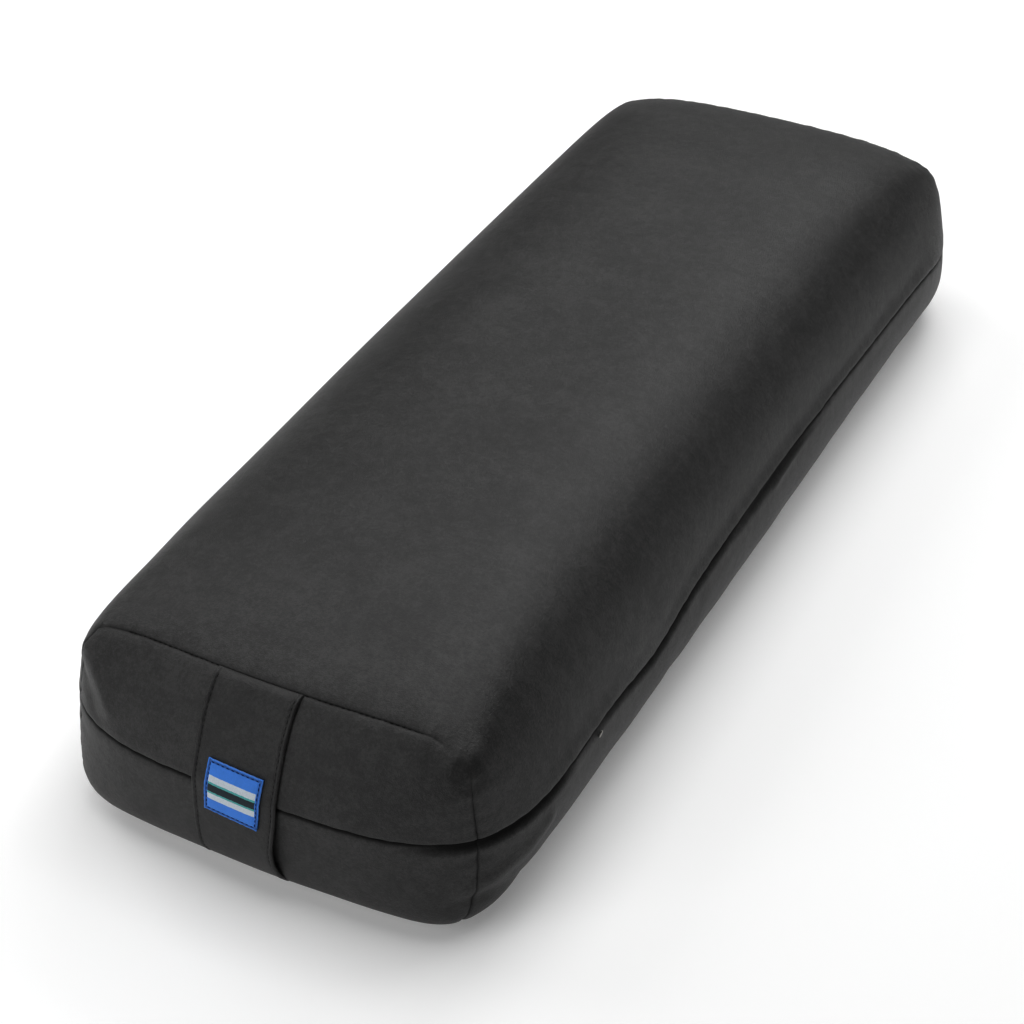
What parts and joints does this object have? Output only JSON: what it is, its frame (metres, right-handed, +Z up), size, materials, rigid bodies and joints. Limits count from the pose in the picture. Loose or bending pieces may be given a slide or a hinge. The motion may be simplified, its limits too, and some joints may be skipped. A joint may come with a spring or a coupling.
{
  "type": "rectangular yoga bolster",
  "caption": "Firm rectangular yoga bolster, a filled cloth cushion with rounded shoulders, a seam round its middle and a carrying strap on one end.",
  "frame": {"origin": "on the floor, under the middle of the whole part's box", "axes": "+Z up, +Y along the length, away from the end with the handle strap"},
  "size_m": [0.2484, 0.6724, 0.1225],
  "materials": {
    "cover_cloth": "charcoal brushed cotton, matt, faintly mottled",
    "strap_cloth": "the cover's charcoal brushed cotton, folded and edge stitched",
    "label_weave": "blue woven tag with a dark stitched border and a plain woven band",
    "pull_metal": "pale plated metal"
  },
  "bodies": {
    "root": {"bolster": "cover_cloth", "handle_strap": "strap_cloth", "label": "label_weave", "zip_pull": "pull_metal"}
  },
  "joints": []
}
